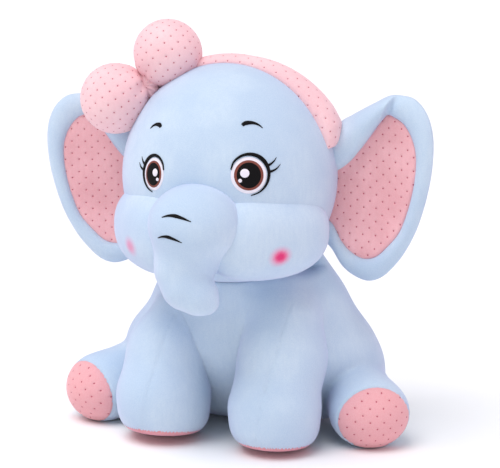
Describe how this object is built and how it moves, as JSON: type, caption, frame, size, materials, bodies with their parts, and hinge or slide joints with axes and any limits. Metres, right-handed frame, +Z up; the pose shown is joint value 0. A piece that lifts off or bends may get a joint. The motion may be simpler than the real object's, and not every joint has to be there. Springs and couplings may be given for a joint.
{
  "type": "stuffed toy elephant",
  "caption": "Sitting stuffed elephant in short plush, with a padded headband and a two-puff bow, turning head, lifting trunk and folding ears.",
  "frame": {"origin": "centre of the bounding box's footprint, on the floor", "axes": "+Z up, the elephant looks along -Y, its own left side is +X"},
  "size_m": [0.41, 0.341, 0.42],
  "materials": {
    "blue_plush": "short pile",
    "pink_dot_fabric": "pin-dotted weave",
    "band_fabric": "pin-dotted weave",
    "sole_fabric": "short pile",
    "filling": "loose fibre",
    "white_thread": "satin stitch",
    "brown_thread": "satin stitch",
    "black_thread": "satin stitch"
  },
  "bodies": {
    "torso_body": {"torso_skin": "blue_plush", "torso_filling": "filling"},
    "head_body": {"head_skin": "blue_plush", "head_filling": "filling", "headband_skin": "band_fabric", "headband_filling": "filling", "bow_upper_skin": "band_fabric", "bow_upper_filling": "filling", "bow_lower_skin": "band_fabric", "bow_lower_filling": "filling", "cheek_left_skin": "blue_plush", "cheek_left_filling": "filling", "cheek_right_skin": "blue_plush", "cheek_right_filling": "filling", "bow_cinch": "band_fabric", "eye_left_white": "white_thread", "eye_left_iris": "brown_thread", "eye_left_pupil": "black_thread", "eye_left_glint": "white_thread", "eye_left_glint_small": "white_thread", "eye_left_lid": "black_thread", "eye_left_lash_upper": "black_thread", "eye_left_lash_lower": "black_thread", "brow_left": "black_thread", "eye_right_white": "white_thread", "eye_right_iris": "brown_thread", "eye_right_pupil": "black_thread", "eye_right_glint": "white_thread", "eye_right_glint_small": "white_thread", "eye_right_lid": "black_thread", "eye_right_lash_upper": "black_thread", "eye_right_lash_lower": "black_thread", "brow_right": "black_thread"},
    "trunk_body": {"trunk_skin": "blue_plush", "trunk_filling": "filling", "trunk_line_upper": "black_thread", "trunk_line_lower": "black_thread"},
    "ear_left_body": {"ear_left_back": "blue_plush", "ear_left_lining": "pink_dot_fabric", "ear_left_padding": "filling"},
    "ear_right_body": {"ear_right_back": "blue_plush", "ear_right_lining": "pink_dot_fabric", "ear_right_padding": "filling"},
    "front_leg_left_body": {"front_leg_left_skin": "blue_plush", "front_leg_left_filling": "filling", "front_sole_left": "sole_fabric"},
    "front_leg_right_body": {"front_leg_right_skin": "blue_plush", "front_leg_right_filling": "filling", "front_sole_right": "sole_fabric"},
    "hind_leg_left_body": {"hind_leg_left_skin": "blue_plush", "hind_leg_left_filling": "filling", "hind_pad_left": "pink_dot_fabric"},
    "hind_leg_right_body": {"hind_leg_right_skin": "blue_plush", "hind_leg_right_filling": "filling", "hind_pad_right": "pink_dot_fabric"},
    "tail_body": {"tail_skin": "blue_plush", "tail_filling": "filling"}
  },
  "joints": [
    {"name": "head_turn", "type": "hinge", "parent": "torso_body", "child": "head_body", "pos_m": [0, -0.0245, 0.2], "axis": [0, 0, 1], "range_deg": [-15, 15], "stiffness_Nm_per_rad": 1.5},
    {"name": "trunk_lift", "type": "hinge", "parent": "head_body", "child": "trunk_body", "pos_m": [0, -0.1265, 0.262], "axis": [-1, 0, 0], "range_deg": [0, 16], "stiffness_Nm_per_rad": 0.6},
    {"name": "ear_left_fold", "type": "hinge", "parent": "head_body", "child": "ear_left_body", "pos_m": [0.0895, 0.0035, 0.2475], "axis": [0.1781, 0, 0.984], "range_deg": [-10, 25], "stiffness_Nm_per_rad": 0.3},
    {"name": "ear_right_fold", "type": "hinge", "parent": "head_body", "child": "ear_right_body", "pos_m": [-0.0895, 0.0035, 0.2475], "axis": [0.1781, 0, -0.984], "range_deg": [0, 25], "stiffness_Nm_per_rad": 0.3},
    {"name": "front_leg_left_swing", "type": "hinge", "parent": "torso_body", "child": "front_leg_left_body", "pos_m": [0.064, -0.0225, 0.098], "axis": [-1, 0, 0], "range_deg": [-6, 8], "stiffness_Nm_per_rad": 3},
    {"name": "hind_leg_left_spread", "type": "hinge", "parent": "torso_body", "child": "hind_leg_left_body", "pos_m": [0.104, 0.0435, 0.046], "axis": [0, 0, 1], "range_deg": [-8, 8], "stiffness_Nm_per_rad": 3},
    {"name": "front_leg_right_swing", "type": "hinge", "parent": "torso_body", "child": "front_leg_right_body", "pos_m": [-0.064, -0.0225, 0.098], "axis": [-1, 0, 0], "range_deg": [-6, 8], "stiffness_Nm_per_rad": 3},
    {"name": "hind_leg_right_spread", "type": "hinge", "parent": "torso_body", "child": "hind_leg_right_body", "pos_m": [-0.104, 0.0435, 0.046], "axis": [0, 0, -1], "range_deg": [-8, 8], "stiffness_Nm_per_rad": 3},
    {"name": "tail_sway", "type": "hinge", "parent": "torso_body", "child": "tail_body", "pos_m": [0, 0.151, 0.08], "axis": [0, 1, 0], "range_deg": [-20, 20], "stiffness_Nm_per_rad": 0.05}
  ]
}
